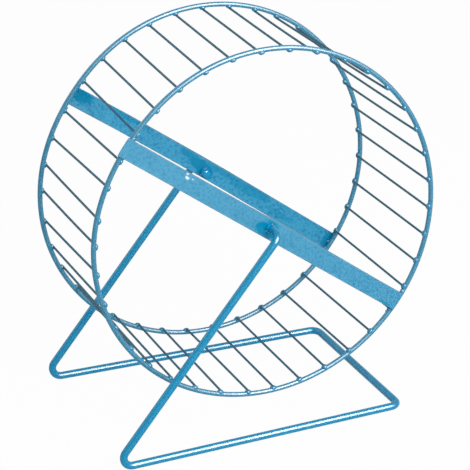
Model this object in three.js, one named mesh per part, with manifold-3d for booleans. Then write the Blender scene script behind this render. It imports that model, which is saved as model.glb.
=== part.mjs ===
// Wire exercise wheel for a hamster on a free-standing stand bent from one wire.
// Millimetres, +Z up, X to the right, the axle along Y, the front on the -Y side.
// The origin lies on the floor, straight below the middle of the wheel.
import * as THREE from "three";
import { mergeVertices } from "three/addons/utils/BufferGeometryUtils.js";
import Module from "manifold-3d";

const wasm = await Module();
wasm.setup();

// Clearances shared by the whole object, and how far apart corners may lie and still be one.
const SEAT_GAP = 0.3; // between pieces that touch or are welded
const HUB_CLEARANCE = 0.35; // round the stub in the bar's hole, on the radius
const MERGE_DISTANCE = 1e-4;

// Wheel: two hoops, rungs inside them and a flat bar across each.
const WHEEL_DIAMETER = 202.8; // over the hoops
const WHEEL_WIDTH = 90; // over the hoops
const HOOP_WIRE = 2.8;
const RUNG_WIRE = 1.3;
const RUNG_COUNT = 38;
const RUNG_INSET = 0.7; // from the hoop's outer face in to the rung's tip
const SEAM_GAP_PITCHES = 1.17; // gap between the rungs at the hoops' seams, in rung pitches
const SEAM_FLAT = 1.45; // that the hoops lie further in at their seams, where the wire stayed a little flat
const SEAM_FLAT_REACH = 41; // along the hoop, from the seam to where that has dropped to about a third
const BAR_THICKNESS = 1;
const BAR_EDGE = 1.4; // least metal between the hub hole and the bar's edge
const FRONT_HOLE_OFFSET = 0.7; // from the front bar's centre line up to its hole
const REAR_HOLE_OFFSET = 1.55; // from the rear bar's centre line down to its hole
const FRONT_BAR_SHIFT = 1.65; // that the front bar lies towards the seams, measured at both ends
const REAR_BAR_SHORT = 1.15; // that the rear bar stops inside the hoop's outer edge at the seam
const BAR_TILT = 35.9; // degrees that the bars slope down to the right in the pose as shown

// Stand: one wire from hub to hub.
const STAND_WIRE = 4.3;
const FLOOR_CLEARANCE = 20.7; // from the floor up to the hoops
const LEG_CLEARANCE = 10.7; // from the bar's outer face out to the leg
const LEG_REACH = 97.9; // from below the axle back to the corner of leg and rail
const CROSS_REACH = 78.3; // from below the axle forward to the cross side
const RAIL_TAPER = 4.6; // that each rail runs in between the leg and the cross side
const FOOT_BEND_INSIDE = 3.4; // inner radius where the leg meets the rail
const CROSS_BEND_INSIDE = 3.4; // inner radius where the rail meets the cross side
const HUB_BEND_INSIDE = 3; // inner radius where the leg turns in to the hub

// Pressed ears on the stub, inside and outside each bar.
const EAR_GRIP = 0.6; // that an ear reaches past the hub hole's edge
const EAR_LENGTH = 2.6;
const EAR_THICKNESS = 1.7;
const INNER_PLAY = 1.6; // from the bar in to the inner ears
const OUTER_PLAY = 1; // from the bar out to the outer ears
const TIP_LENGTH = 0.7; // of the stub past the inner ears
const INNER_EAR_TURN = 165; // degrees round the axle from the right, the way the inner ears point
const OUTER_EAR_TURN = 45; // and the outer ears

// How finely the round pieces are divided.
const HOOP_STEPS = 96;
const HOOP_SIDES = 8;
const RUNG_SIDES = 8;
const STAND_SIDES = 12;
const BEND_STEPS = 8;
const ARC_STEPS = 24;

// Sizes worked out from those above.
const hoopOuterRadius = WHEEL_DIAMETER / 2;
const hoopRadius = hoopOuterRadius - HOOP_WIRE / 2;
const hoopPlace = (WHEEL_WIDTH - HOOP_WIRE) / 2;
const rungRadius = hoopRadius - (HOOP_WIRE + RUNG_WIRE) / 2 - SEAT_GAP;
const rungLength = WHEEL_WIDTH - 2 * RUNG_INSET;
const rungPitch = (2 * Math.PI) / (RUNG_COUNT - 1 + SEAM_GAP_PITCHES);
const stubRadius = STAND_WIRE / 2;
const holeRadius = stubRadius + HUB_CLEARANCE;
const barWidth = 2 * (holeRadius + Math.max(FRONT_HOLE_OFFSET, REAR_HOLE_OFFSET) + BAR_EDGE);
const seamOuterRadius = hoopOuterRadius - SEAM_FLAT;
const barInner = WHEEL_WIDTH / 2 + SEAT_GAP;
const barOuter = barInner + BAR_THICKNESS;
const axleHeight = FLOOR_CLEARANCE + hoopOuterRadius;
const legPlace = barOuter + LEG_CLEARANCE + stubRadius;
const crossPlace = legPlace - RAIL_TAPER;
const railHeight = stubRadius;
const innerEarPlace = barInner - INNER_PLAY - EAR_LENGTH / 2;
const outerEarPlace = barOuter + OUTER_PLAY + EAR_LENGTH / 2;
const stubTip = innerEarPlace - EAR_LENGTH / 2 - TIP_LENGTH;

const degrees = THREE.MathUtils.degToRad;
const point = (x, y, z) => new THREE.Vector3(x, y, z);
const down = point(0, 0, -1);

// Glossy blue paint over steel, a little deeper in tone on the thin wires.
const finish = (color) => new THREE.MeshStandardMaterial({ color, roughness: 0.35, metalness: 0.1 });
const barPaint = finish(0x4b9cc5);
const standPaint = finish(0x3c95ba);
const hoopPaint = finish(0x3f8fb0);
const rungPaint = finish(0x3b6f86);

// A run of wire given as corners with bends: straight stretches joined by arcs.
class BentWire extends THREE.Curve {
  // corners: { at, bend } in order, where bend is the radius on the wire's centre line
  constructor(corners) {
    super();
    this.places = [];
    this.ways = [];
    corners.forEach((corner, i) => {
      const before = corners[i - 1];
      const after = corners[i + 1];
      if (before && after) this.addBend(before.at, corner, after.at);
      else this.addEnd(corner.at, before ? before.at : after.at, before ? 1 : -1);
    });
  }

  addEnd(at, other, sign) {
    this.places.push(at.clone());
    this.ways.push(at.clone().sub(other).multiplyScalar(sign).normalize());
  }

  addBend(from, { at, bend }, to) {
    const wayIn = at.clone().sub(from).normalize();
    const wayOut = to.clone().sub(at).normalize();
    const turn = wayIn.angleTo(wayOut);
    const start = at.clone().addScaledVector(wayIn, -bend * Math.tan(turn / 2));
    const towards = wayOut.clone().addScaledVector(wayIn, -wayIn.dot(wayOut)).normalize();
    const centre = start.clone().addScaledVector(towards, bend);
    for (let i = 0; i <= BEND_STEPS; i++) {
      const angle = (turn * i) / BEND_STEPS;
      const place = centre.clone();
      place.addScaledVector(towards, -bend * Math.cos(angle));
      place.addScaledVector(wayIn, bend * Math.sin(angle));
      this.places.push(place);
      const way = wayIn.clone().multiplyScalar(Math.cos(angle));
      this.ways.push(way.addScaledVector(towards, Math.sin(angle)));
    }
  }

  // One step of the wire for each place, so straight stretches take a single step.
  get steps() {
    return this.places.length - 1;
  }

  getPoint(t, target = new THREE.Vector3()) {
    return target.copy(this.places[Math.round(t * this.steps)]);
  }

  getPointAt(u, target) {
    return this.getPoint(u, target);
  }

  getTangentAt(u, target = new THREE.Vector3()) {
    return target.copy(this.ways[Math.round(u * this.steps)]);
  }
}

// The wire's section: a regular outline with flats across its diameter, turned about its middle.
function wireSection(diameter, sides, turn) {
  const cornerRadius = diameter / 2 / Math.cos(Math.PI / sides);
  const corners = [];
  for (let i = 0; i < sides; i++) {
    const angle = turn + (2 * Math.PI * (i + 0.5)) / sides;
    corners.push(new THREE.Vector2(Math.cos(angle), Math.sin(angle)).multiplyScalar(cornerRadius));
  }
  return new THREE.Shape(corners);
}

function asSolid(geometry) {
  const bare = geometry.clone();
  bare.deleteAttribute("normal");
  bare.deleteAttribute("uv");
  const merged = mergeVertices(bare, MERGE_DISTANCE);
  return new wasm.Manifold(
    new wasm.Mesh({
      numProp: 3,
      vertProperties: new Float32Array(merged.attributes.position.array),
      triVerts: new Uint32Array(merged.index.array),
    }),
  );
}

function asGeometry(solid) {
  const { vertProperties, triVerts } = solid.getMesh();
  const geometry = new THREE.BufferGeometry();
  geometry.setAttribute("position", new THREE.BufferAttribute(vertProperties, 3));
  geometry.setIndex(new THREE.BufferAttribute(triVerts, 1));
  geometry.computeVertexNormals();
  return geometry;
}

function named(name, geometry, material) {
  const mesh = new THREE.Mesh(geometry, material);
  mesh.name = name;
  return mesh;
}

// The stand's corners on one side: side is -1 for the front and 1 for the rear.
function standSide(side) {
  const bendOf = (inside) => inside + stubRadius;
  return [
    { at: point(0, side * stubTip, axleHeight), bend: 0 },
    { at: point(0, side * legPlace, axleHeight), bend: bendOf(HUB_BEND_INSIDE) },
    { at: point(-LEG_REACH, side * legPlace, railHeight), bend: bendOf(FOOT_BEND_INSIDE) },
    { at: point(CROSS_REACH, side * crossPlace, railHeight), bend: bendOf(CROSS_BEND_INSIDE) },
  ];
}

// A flattened stretch of the stub: a thin oval plate through the wire, wider than the hub hole.
function earGeometry(place, turn) {
  const outline = new THREE.Shape();
  outline.absellipse(0, 0, holeRadius + EAR_GRIP, EAR_LENGTH / 2, 0, 2 * Math.PI);
  const plate = new THREE.ExtrudeGeometry(outline, {
    depth: EAR_THICKNESS,
    bevelEnabled: false,
    curveSegments: ARC_STEPS / 2,
  });
  plate.translate(0, 0, -EAR_THICKNESS / 2);
  plate.rotateY(-degrees(turn));
  plate.translate(0, place, axleHeight);
  return plate;
}

function standWire() {
  const path = new BentWire([...standSide(1), ...standSide(-1).reverse()]);
  // The section is turned so that one of its flats lies on the floor all along the rails and the cross side.
  const { normals, binormals } = path.computeFrenetFrames(path.steps);
  const railStep = 2 * (BEND_STEPS + 1);
  const turn = Math.atan2(down.dot(binormals[railStep]), down.dot(normals[railStep]));
  const section = wireSection(STAND_WIRE, STAND_SIDES, turn);
  const wire = new THREE.ExtrudeGeometry(section, { extrudePath: path, steps: path.steps });
  let solid = asSolid(wire);
  for (const side of [-1, 1]) {
    solid = solid.add(asSolid(earGeometry(side * innerEarPlace, INNER_EAR_TURN)));
    solid = solid.add(asSolid(earGeometry(side * outerEarPlace, OUTER_EAR_TURN)));
  }
  return named("stand_wire", asGeometry(solid), standPaint);
}

// How far in the hoops lie at an angle round the wheel. Their seams are at half a turn.
function flatAt(angle) {
  const fromSeam = hoopRadius * Math.atan2(-Math.sin(angle), -Math.cos(angle));
  return SEAM_FLAT * Math.exp(-((fromSeam / SEAM_FLAT_REACH) ** 2));
}

function hoop(name, side) {
  const ring = new THREE.TorusGeometry(hoopRadius, HOOP_WIRE / 2, HOOP_SIDES, HOOP_STEPS);
  const places = ring.attributes.position;
  for (let i = 0; i < places.count; i++) {
    const angle = Math.atan2(places.getY(i), places.getX(i));
    const inward = flatAt(angle);
    places.setX(i, places.getX(i) - inward * Math.cos(angle));
    places.setY(i, places.getY(i) - inward * Math.sin(angle));
  }
  ring.rotateX(Math.PI / 2);
  const mesh = named(name, ring, hoopPaint);
  mesh.position.set(0, side * hoopPlace, 0);
  return mesh;
}

// A bar's ends are cut to the hoop's curve, and its hole is a little off its centre line.
function barGeometry(holeOffset, seamEndRadius, farEndRadius) {
  const low = -holeOffset - barWidth / 2;
  const high = -holeOffset + barWidth / 2;
  const angleOf = (height, radius) => Math.asin(height / radius);
  const outline = new THREE.Shape();
  outline.absarc(0, 0, farEndRadius, angleOf(low, farEndRadius), angleOf(high, farEndRadius), false);
  outline.absarc(
    0,
    0,
    seamEndRadius,
    Math.PI - angleOf(high, seamEndRadius),
    Math.PI - angleOf(low, seamEndRadius),
    false,
  );
  outline.closePath();
  const hole = new THREE.Path();
  hole.absarc(0, 0, holeRadius, 0, 2 * Math.PI, true);
  outline.holes.push(hole);
  const strip = new THREE.ExtrudeGeometry(outline, {
    depth: BAR_THICKNESS,
    bevelEnabled: false,
    curveSegments: ARC_STEPS / 2,
  });
  strip.rotateX(Math.PI / 2);
  strip.translate(0, -barInner, 0);
  return strip;
}

function frontBar() {
  const strip = barGeometry(FRONT_HOLE_OFFSET, seamOuterRadius + FRONT_BAR_SHIFT, hoopOuterRadius - FRONT_BAR_SHIFT);
  return named("front_bar", strip, barPaint);
}

// The rear bar is turned over about its length.
function rearBar() {
  const strip = barGeometry(REAR_HOLE_OFFSET, seamOuterRadius - REAR_BAR_SHORT, hoopOuterRadius);
  const mesh = named("rear_bar", strip, barPaint);
  mesh.rotation.x = Math.PI;
  return mesh;
}

function rung(number) {
  const name = "rung_" + String(number).padStart(2, "0");
  const cylinder = new THREE.CylinderGeometry(RUNG_WIRE / 2, RUNG_WIRE / 2, rungLength, RUNG_SIDES);
  const mesh = named(name, cylinder, rungPaint);
  const angle = Math.PI + rungPitch * (SEAM_GAP_PITCHES / 2 + number - 1);
  const radius = rungRadius - flatAt(angle);
  mesh.position.set(radius * Math.cos(angle), 0, radius * Math.sin(angle));
  mesh.rotation.y = -angle;
  return mesh;
}

const wheel = new THREE.Group();
wheel.add(hoop("front_hoop", -1), hoop("rear_hoop", 1));
wheel.add(frontBar(), rearBar());
for (let number = 1; number <= RUNG_COUNT; number++) wheel.add(rung(number));
wheel.position.set(0, 0, axleHeight);
wheel.rotation.y = degrees(BAR_TILT);

const hamsterWheel = new THREE.Group();
hamsterWheel.add(standWire(), wheel);

export default hamsterWheel;
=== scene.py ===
"""A hamster's wire exercise wheel on its bent-wire stand, with paint, welds and pressed wire ends.

Metres, +Z up, +X to the right, the axle along Y with the front on the -Y side. The origin lies on
the floor, straight below the middle of the wheel. Sizes are given in millimetres.
"""

import logging
import math
from dataclasses import dataclass, field
from enum import Enum

import bmesh
import bpy
from bpy.types import Material, Mesh, Node, NodeSocket, NodeTree, Object
from mathutils import Matrix, Vector


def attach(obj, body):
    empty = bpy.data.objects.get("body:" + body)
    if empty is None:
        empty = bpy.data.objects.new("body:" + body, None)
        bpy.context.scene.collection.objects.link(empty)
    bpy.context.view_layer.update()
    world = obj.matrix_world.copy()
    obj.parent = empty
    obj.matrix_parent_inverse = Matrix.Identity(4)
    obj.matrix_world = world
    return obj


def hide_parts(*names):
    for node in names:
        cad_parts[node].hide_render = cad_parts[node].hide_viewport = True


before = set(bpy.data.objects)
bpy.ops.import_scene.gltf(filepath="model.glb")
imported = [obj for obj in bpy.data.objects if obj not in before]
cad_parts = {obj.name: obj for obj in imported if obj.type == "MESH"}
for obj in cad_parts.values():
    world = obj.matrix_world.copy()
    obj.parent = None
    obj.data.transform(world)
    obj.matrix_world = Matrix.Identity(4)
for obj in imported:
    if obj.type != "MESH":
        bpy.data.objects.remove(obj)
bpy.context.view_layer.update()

LOG = logging.getLogger("hamster_wheel")
MM = 0.001
# The span in which nearly all of a noise texture's values lie.
NOISE_LOW, NOISE_HIGH = 0.3, 0.7
# How alike two directions are that count as one.
ALIKE = 0.999
# Along and across a bar, half length, half width and depth of each place where its paint differs.
Places = tuple[tuple[float, ...], ...]
# Where a ring of the stand's wire lies, and which way the wire runs there.
Station = tuple[Vector, Vector]


class Side(Enum):
    """The two ends of the wheel. The value is the sign of Y there."""

    FRONT = -1
    REAR = 1

    @property
    def word(self) -> str:
        """The side as the pieces' names give it."""
        return self.name.lower()


# ---- Small helpers ----


def linear(hex_colour: str) -> tuple[float, float, float, float]:
    """Turns an sRGB hex colour into linear light.

    Args:
        hex_colour: Six hex digits, such as "3d96c4".

    Returns:
        Red, green, blue and an alpha of 1.
    """
    shares = [int(hex_colour[i : i + 2], 16) / 255 for i in (0, 2, 4)]
    light = [s / 12.92 if s <= 0.04045 else ((s + 0.055) / 1.055) ** 2.4 for s in shares]
    return (*light, 1.0)


def add_node(tree: NodeTree, kind: str, inputs: dict | None = None, **settings: object) -> Node:
    """Adds a node with its settings and links.

    Args:
        tree: The node tree that gets the node.
        kind: The node's type.
        inputs: Input name or number to a value, or to the socket that is linked to it.
        settings: The node's own properties.

    Returns:
        The new node.
    """
    node = tree.nodes.new(kind)
    for key, value in settings.items():
        setattr(node, key, value)
    for key, value in (inputs or {}).items():
        if isinstance(value, NodeSocket):
            tree.links.new(value, node.inputs[key])
        else:
            node.inputs[key].default_value = value
    return node


def mesh_object(name: str, mesh: Mesh) -> Object:
    """Puts a mesh into the scene as an object at the origin.

    Args:
        name: The object's name.
        mesh: Its mesh, in the part's frame.

    Returns:
        The new object.
    """
    mesh.name = name
    piece = bpy.data.objects.new(name, mesh)
    bpy.context.scene.collection.objects.link(piece)
    return piece


def mesh_from(vertices: list, faces: list, material: Material) -> Mesh:
    """Makes a smooth mesh whose faces point outwards.

    Args:
        vertices: Places in metres.
        faces: Corner numbers of each face.
        material: What the faces are made of.

    Returns:
        The mesh.
    """
    mesh = bpy.data.meshes.new("piece")
    mesh.from_pydata([tuple(v) for v in vertices], [], faces)
    shape = bmesh.new()
    shape.from_mesh(mesh)
    bmesh.ops.recalc_face_normals(shape, faces=shape.faces)
    for face in shape.faces:
        face.smooth = True
    shape.to_mesh(mesh)
    shape.free()
    mesh.materials.append(material)
    return mesh


class Recipe:
    """A Geometry Nodes tree with named sizes that is run once to give a plain mesh."""

    def __init__(self, name: str, sizes: dict[str, float | int]) -> None:
        """Starts a tree with one input for each size.

        Args:
            name: The tree's name.
            sizes: Input name to its value. Whole numbers become whole-number inputs.
        """
        self.sizes = sizes
        self.tree = bpy.data.node_groups.new(name, "GeometryNodeTree")
        face = self.tree.interface
        face.new_socket("Geometry", in_out="INPUT", socket_type="NodeSocketGeometry")
        self.identifiers = {}
        for key, value in sizes.items():
            kind = "NodeSocketInt" if isinstance(value, int) else "NodeSocketFloat"
            self.identifiers[key] = face.new_socket(key, in_out="INPUT", socket_type=kind).identifier
        face.new_socket("Geometry", in_out="OUTPUT", socket_type="NodeSocketGeometry")
        self.source = add_node(self.tree, "NodeGroupInput")

    def size(self, key: str) -> NodeSocket:
        """Gives the socket of a named size."""
        return self.source.outputs[key]

    def put(self, kind: str, inputs: dict | None = None, **settings: object) -> NodeSocket:
        """Adds a node to the tree.

        Args:
            kind: The node's type.
            inputs: Input name or number to a value or a socket.
            settings: The node's own properties.

        Returns:
            The node's first output.
        """
        return add_node(self.tree, kind, inputs, **settings).outputs[0]

    def finish(self, geometry: NodeSocket, material: Material) -> None:
        """Ends the tree with real, smooth geometry of one material.

        Args:
            geometry: What the tree has made.
            material: What it is made of.
        """
        real = self.put("GeometryNodeRealizeInstances", {"Geometry": geometry})
        smooth = self.put("GeometryNodeSetShadeSmooth", {"Geometry": real})
        dressed = self.put("GeometryNodeSetMaterial", {"Geometry": smooth, "Material": material})
        add_node(self.tree, "NodeGroupOutput", {0: dressed})

    def make(self, name: str, base: Mesh | None = None) -> Object:
        """Runs the tree on a base mesh and keeps the result as a plain mesh.

        Args:
            name: The object's name.
            base: What the tree starts from, if it needs anything.

        Returns:
            The object, with no modifier left on it.
        """
        piece = mesh_object(name, base or bpy.data.meshes.new(name))
        modifier = piece.modifiers.new("recipe", "NODES")
        modifier.node_group = self.tree
        for key, identifier in self.identifiers.items():
            modifier[identifier] = self.sizes[key]
        evaluated = piece.evaluated_get(bpy.context.evaluated_depsgraph_get())
        result = bpy.data.meshes.new_from_object(evaluated)
        piece.modifiers.clear()
        spare = piece.data
        piece.data = result
        result.name = name
        bpy.data.meshes.remove(spare)
        return piece


def inward_of_seam(recipe: Recipe, angle: NodeSocket) -> NodeSocket:
    """Adds the rule for how far in the hoops lie near their seams, where the wire stayed a little flat.

    Args:
        recipe: The tree, which has the sizes Seam Flat, Seam Reach and Hoop Radius.
        angle: Angle from the seam, in radians.

    Returns:
        The distance inwards.
    """
    arc = recipe.put("ShaderNodeMath", {0: angle, 1: recipe.size("Hoop Radius")}, operation="MULTIPLY")
    share = recipe.put("ShaderNodeMath", {0: arc, 1: recipe.size("Seam Reach")}, operation="DIVIDE")
    square = recipe.put("ShaderNodeMath", {0: share, 1: share}, operation="MULTIPLY")
    negative = recipe.put("ShaderNodeMath", {0: square, 1: -1.0}, operation="MULTIPLY")
    bell = recipe.put("ShaderNodeMath", {0: negative}, operation="EXPONENT")
    return recipe.put("ShaderNodeMath", {0: bell, 1: recipe.size("Seam Flat")}, operation="MULTIPLY")


# ---- Finishes ----


@dataclass(frozen=True)
class Patch:
    """A place where the paint differs, with soft and ragged edges. Millimetres, in the part's frame."""

    middle: tuple[float, float, float]
    reach: tuple[float, float, float]
    turn_degrees: float = 0.0
    depth: float = 1.0


@dataclass(frozen=True)
class BlueEnamel:
    """Glossy blue stoving enamel, dipped over steel.

    It gives a saturated mid blue with soft white lights, has another blue in patches, for pooled paint
    and for painted shade and painted light where parts meet, and has the fine grain and faint waviness of thick paint.
    """

    name: str
    colour: str = "3e8bab"
    deep_colour: str = "1f83aa"
    mottle_mm: float = 7.0
    mottle_share: float = 0.6
    grain_mm: float = 0.9
    grain_share: float = 0.15
    peel_mm: float = 2.2
    peel_height_mm: float = 0.0025
    roughness: float = 0.36
    roughness_spread: float = 0.05
    specular: float = 0.32
    # Another blue in patches: pooled paint, and painted shade and painted light where parts meet.
    pool_and_shading_colour: str = "0087b2"
    pool_and_shading_roughness: float = 0.14
    pools_and_shading: tuple[Patch, ...] = ()
    # A few small pale spots.
    pale_spot_colour: str = "e4eef1"
    pale_spots: tuple[Patch, ...] = ()
    ragged_mm: float = 1.1
    ragged_grain_mm: float = 2.4
    # Shares of a patch's reach at which it ends and is full, and the noise at which mottling starts and is full.
    patch_end: float = 1.15
    patch_full: float = 0.7
    mottle_from: float = 0.35
    mottle_full: float = 0.7
    ior: float = 1.5

    def share(self, tree: NodeTree, place: NodeSocket, patches: tuple[Patch, ...]) -> NodeSocket | float:
        """Adds the rule for how far a point lies inside any of some patches.

        Args:
            tree: The material's nodes.
            place: The point.
            patches: The patches.

        Returns:
            A socket, or 0 where there are no patches.
        """
        if not patches:
            return 0.0
        noise = add_node(
            tree, "ShaderNodeTexNoise", {"Vector": place, "Scale": 1 / (self.ragged_grain_mm * MM), "Detail": 2.0}
        )
        middle = add_node(
            tree, "ShaderNodeVectorMath", {0: noise.outputs["Color"], 1: (0.5, 0.5, 0.5)}, operation="SUBTRACT"
        )
        push = add_node(
            tree, "ShaderNodeVectorMath", {0: middle.outputs[0], "Scale": 2 * self.ragged_mm * MM}, operation="SCALE"
        )
        ragged = add_node(tree, "ShaderNodeVectorMath", {0: place, 1: push.outputs[0]}, operation="ADD").outputs[0]
        total: NodeSocket | float = 0.0
        for patch in patches:
            near = add_node(
                tree,
                "ShaderNodeMapping",
                {
                    "Vector": ragged,
                    "Location": Vector(patch.middle) * MM,
                    "Rotation": (0, math.radians(patch.turn_degrees), 0),
                    "Scale": Vector(patch.reach) * MM,
                },
                vector_type="TEXTURE",
            )
            distance = add_node(tree, "ShaderNodeVectorMath", {0: near.outputs[0]}, operation="LENGTH")
            depth = add_node(
                tree,
                "ShaderNodeMapRange",
                {
                    "Value": distance.outputs["Value"],
                    "From Min": self.patch_end,
                    "From Max": self.patch_full,
                    "To Max": patch.depth,
                },
                interpolation_type="SMOOTHSTEP",
            )
            total = add_node(tree, "ShaderNodeMath", {0: total, 1: depth.outputs[0]}, operation="MAXIMUM").outputs[0]
        return total

    def tone(self, tree: NodeTree, place: NodeSocket, pool_and_shading_share: NodeSocket | float) -> NodeSocket:
        """Adds the paint's colour: mottled and grained, another blue in the pools and painted shading, pale at a few
        small spots.

        Args:
            tree: The material's nodes.
            place: The point.
            pool_and_shading_share: How much of the pools and painted shading lies there.

        Returns:
            The colour.
        """
        mottle = add_node(
            tree,
            "ShaderNodeTexNoise",
            {"Vector": place, "Scale": 1 / (self.mottle_mm * MM), "Detail": 3.0, "Roughness": 0.6},
        )
        depth = add_node(
            tree,
            "ShaderNodeMapRange",
            {
                "Value": mottle.outputs["Fac"],
                "From Min": self.mottle_from,
                "From Max": self.mottle_full,
                "To Max": self.mottle_share,
            },
        )
        grain = add_node(
            tree, "ShaderNodeTexNoise", {"Vector": place, "Scale": 1 / (self.grain_mm * MM), "Detail": 2.0}
        )
        fine = add_node(
            tree,
            "ShaderNodeMapRange",
            {
                "Value": grain.outputs["Fac"],
                "From Min": NOISE_LOW,
                "From Max": NOISE_HIGH,
                "To Min": -self.grain_share,
                "To Max": self.grain_share,
            },
        )
        both = add_node(
            tree, "ShaderNodeMath", {0: depth.outputs[0], 1: fine.outputs[0]}, operation="ADD", use_clamp=True
        )
        colour = add_node(
            tree,
            "ShaderNodeMix",
            {0: both.outputs[0], 6: linear(self.colour), 7: linear(self.deep_colour)},
            data_type="RGBA",
        ).outputs[2]
        overlays = [(pool_and_shading_share, self.pool_and_shading_colour)] if self.pools_and_shading else []
        if self.pale_spots:
            overlays.append((self.share(tree, place, self.pale_spots), self.pale_spot_colour))
        for cover, shade in overlays:
            colour = add_node(
                tree, "ShaderNodeMix", {0: cover, 6: colour, 7: linear(shade)}, data_type="RGBA"
            ).outputs[2]
        return colour

    def dullness(
        self, tree: NodeTree, place: NodeSocket, peel: NodeSocket, pool_and_shading_share: NodeSocket | float
    ) -> NodeSocket:
        """Adds the paint's roughness, which wavers with its surface and takes its own value in the pools and painted
        shading.

        Args:
            tree: The material's nodes.
            place: The point.
            peel: The waviness of the surface there.
            pool_and_shading_share: How much of the pools and painted shading lies there.

        Returns:
            The roughness.
        """
        wavering = add_node(
            tree,
            "ShaderNodeMapRange",
            {
                "Value": peel,
                "From Min": NOISE_LOW,
                "From Max": NOISE_HIGH,
                "To Min": self.roughness - self.roughness_spread,
                "To Max": self.roughness + self.roughness_spread,
            },
        )
        return add_node(
            tree, "ShaderNodeMix", {0: pool_and_shading_share, 2: wavering.outputs[0], 3: self.pool_and_shading_roughness}
        ).outputs[0]

    def make(self) -> Material:
        """Builds the material.

        Returns:
            A material whose patterns are sized in real millimetres.
        """
        material = bpy.data.materials.new(self.name)
        material.use_nodes = True
        tree = material.node_tree
        tree.nodes.clear()
        place = add_node(tree, "ShaderNodeTexCoord").outputs["Object"]
        peel = add_node(tree, "ShaderNodeTexNoise", {"Vector": place, "Scale": 1 / (self.peel_mm * MM), "Detail": 1.0})
        relief = add_node(
            tree,
            "ShaderNodeBump",
            {"Height": peel.outputs["Fac"], "Distance": self.peel_height_mm * MM, "Strength": 1.0},
        )
        pool_and_shading_share = self.share(tree, place, self.pools_and_shading)
        paint = add_node(
            tree,
            "ShaderNodeBsdfPrincipled",
            {
                "Base Color": self.tone(tree, place, pool_and_shading_share),
                "Roughness": self.dullness(tree, place, peel.outputs["Fac"], pool_and_shading_share),
                "IOR": self.ior,
                "Specular IOR Level": self.specular,
                "Normal": relief.outputs["Normal"],
            },
        )
        add_node(tree, "ShaderNodeOutputMaterial", {"Surface": paint.outputs["BSDF"]})
        return material


@dataclass(frozen=True)
class BarEnamel(BlueEnamel):
    """The same enamel on flat strip: satin, with painted shade in a greyer, darker blue along the cut edges."""

    # A greyer, darker blue along the long edges, as painted shade.
    edge_shade_colour: str = "558ca6"
    edge_roughness: float = 0.95
    edge_mm: float = 1.2
    edge_share: float = 0.5
    axle_height: float = 122.1
    turn: float = 35.9
    bar_middle: float = 0.0
    bar_half_width: float = 5.45

    def edge(self, tree: NodeTree, place: NodeSocket) -> NodeSocket:
        """Adds the rule for how near a point lies to the bar's long edges.

        Args:
            tree: The material's nodes.
            place: The point.

        Returns:
            A socket that rises to edge_share at the edge itself.
        """
        on_bar = add_node(
            tree,
            "ShaderNodeMapping",
            {
                "Vector": place,
                "Location": (0, 0, self.axle_height * MM),
                "Rotation": (0, math.radians(self.turn), 0),
            },
            vector_type="TEXTURE",
        )
        across = add_node(tree, "ShaderNodeSeparateXYZ", {0: on_bar.outputs[0]}).outputs["Z"]
        off = add_node(tree, "ShaderNodeMath", {0: across, 1: self.bar_middle * MM}, operation="SUBTRACT")
        out = add_node(tree, "ShaderNodeMath", {0: off.outputs[0]}, operation="ABSOLUTE")
        near_edge = add_node(
            tree,
            "ShaderNodeMapRange",
            {
                "Value": out.outputs[0],
                "From Min": (self.bar_half_width - self.edge_mm) * MM,
                "From Max": self.bar_half_width * MM,
                "To Max": self.edge_share,
            },
            interpolation_type="SMOOTHSTEP",
        )
        return near_edge.outputs[0]

    def tone(self, tree: NodeTree, place: NodeSocket, pool_and_shading_share: NodeSocket | float) -> NodeSocket:
        """Adds the paint's colour, with painted shade in a greyer, darker blue along the edges. See BlueEnamel.tone.
        """
        whole, near_edge = super().tone(tree, place, pool_and_shading_share), self.edge(tree, place)
        return add_node(
            tree, "ShaderNodeMix", {0: near_edge, 6: whole, 7: linear(self.edge_shade_colour)}, data_type="RGBA"
        ).outputs[2]

    def dullness(
        self, tree: NodeTree, place: NodeSocket, peel: NodeSocket, pool_and_shading_share: NodeSocket | float
    ) -> NodeSocket:
        """Adds the paint's roughness, dull along the edges. See BlueEnamel.dullness."""
        whole, near_edge = super().dullness(tree, place, peel, pool_and_shading_share), self.edge(tree, place)
        return add_node(tree, "ShaderNodeMix", {0: near_edge, 2: whole, 3: self.edge_roughness}).outputs[0]


# ---- The wheel ----


@dataclass(frozen=True)
class Skew:
    """How far round the hoops the ends of some rungs were welded out of place, in millimetres."""

    first: int
    last: int
    rear: float
    front: float


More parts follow.
